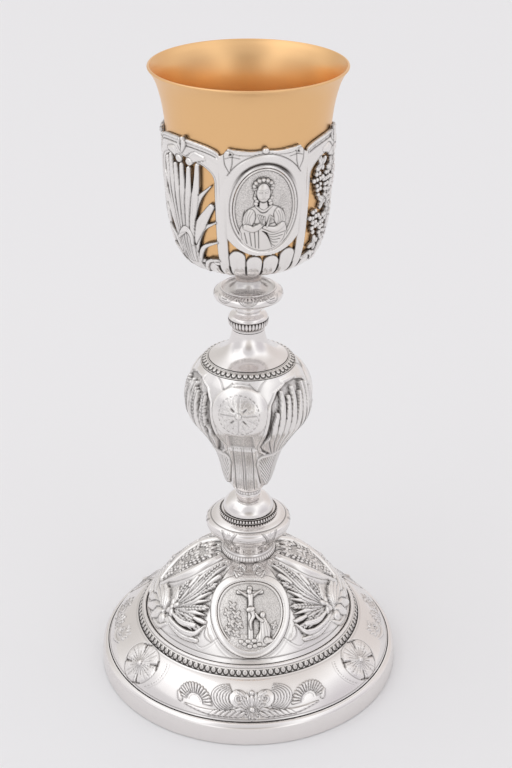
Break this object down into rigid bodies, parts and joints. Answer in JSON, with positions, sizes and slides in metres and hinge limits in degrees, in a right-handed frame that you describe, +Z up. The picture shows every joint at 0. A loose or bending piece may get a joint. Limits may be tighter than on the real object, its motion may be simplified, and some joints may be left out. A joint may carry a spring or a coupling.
{
  "type": "communion chalice",
  "caption": "Silver altar chalice: gilt cup in a pierced false cup, turned stem with a pear-shaped knot, wide domed foot, all held by one rod and nut.",
  "frame": {"origin": "centre of the underside of the base band, on the surface that the chalice stands on", "axes": "+Z up along the stem, -Y towards the front medallion of the foot, +X to the right seen from the front"},
  "size_m": [0.15, 0.15, 0.3065],
  "materials": {
    "silver": "polished silver with dark lines left in the chasing",
    "oxidised_silver": "matted and oxidised silver relief, bright on its high parts",
    "silver_gilt": "satin gilding",
    "brass": "plain turned brass"
  },
  "bodies": {
    "foot": {"base_band": "silver", "foot_rim": "silver", "foot_frieze": "silver", "foot_wire_ring": "silver", "foot_dome": "silver", "foot_plaque_front": "oxidised_silver", "foot_plaque_back": "oxidised_silver", "foot_collar": "silver", "lower_knop": "silver", "bead_ring": "silver", "lower_spool": "silver"},
    "knot": {"knot_base_ring": "silver", "knot_shell": "silver", "spacer_tube": "brass", "knot_frieze": "silver", "knot_cap": "silver", "neck_ring": "silver", "upper_collar": "silver"},
    "cup": {"cup": "silver_gilt", "tie_rod": "brass"},
    "false_cup": {"false_cup": "silver", "cup_plaque_1": "oxidised_silver", "cup_plaque_2": "oxidised_silver", "cup_plaque_3": "oxidised_silver"},
    "washer": {"clamp_washer": "brass"},
    "nut": {"nut": "brass"}
  },
  "joints": [
    {"name": "knot_swivel", "type": "hinge", "parent": "foot", "child": "knot", "pos_m": [0, 0, 0.0944], "axis": [0, 0, 1], "continuous": true},
    {"name": "cup_swivel", "type": "hinge", "parent": "foot", "child": "cup", "pos_m": [0, 0, 0.2143], "axis": [0, 0, 1], "continuous": true},
    {"name": "false_cup_swivel", "type": "hinge", "parent": "cup", "child": "false_cup", "pos_m": [0, 0, 0.2143], "axis": [0, 0, 1], "continuous": true},
    {"name": "washer_slide", "type": "slide", "parent": "cup", "child": "washer", "axis": [0, 0, -1], "range_m": [0, 0.012]},
    {"name": "nut_turn", "type": "hinge", "parent": "washer", "child": "nut", "pos_m": [0, 0, 0.0554], "axis": [0, 0, -1], "range_deg": [0, 4320]}
  ],
  "couplings": [
    {"joint": "nut_turn", "follows": "washer_slide", "rad_per_m": 6283.2}
  ]
}
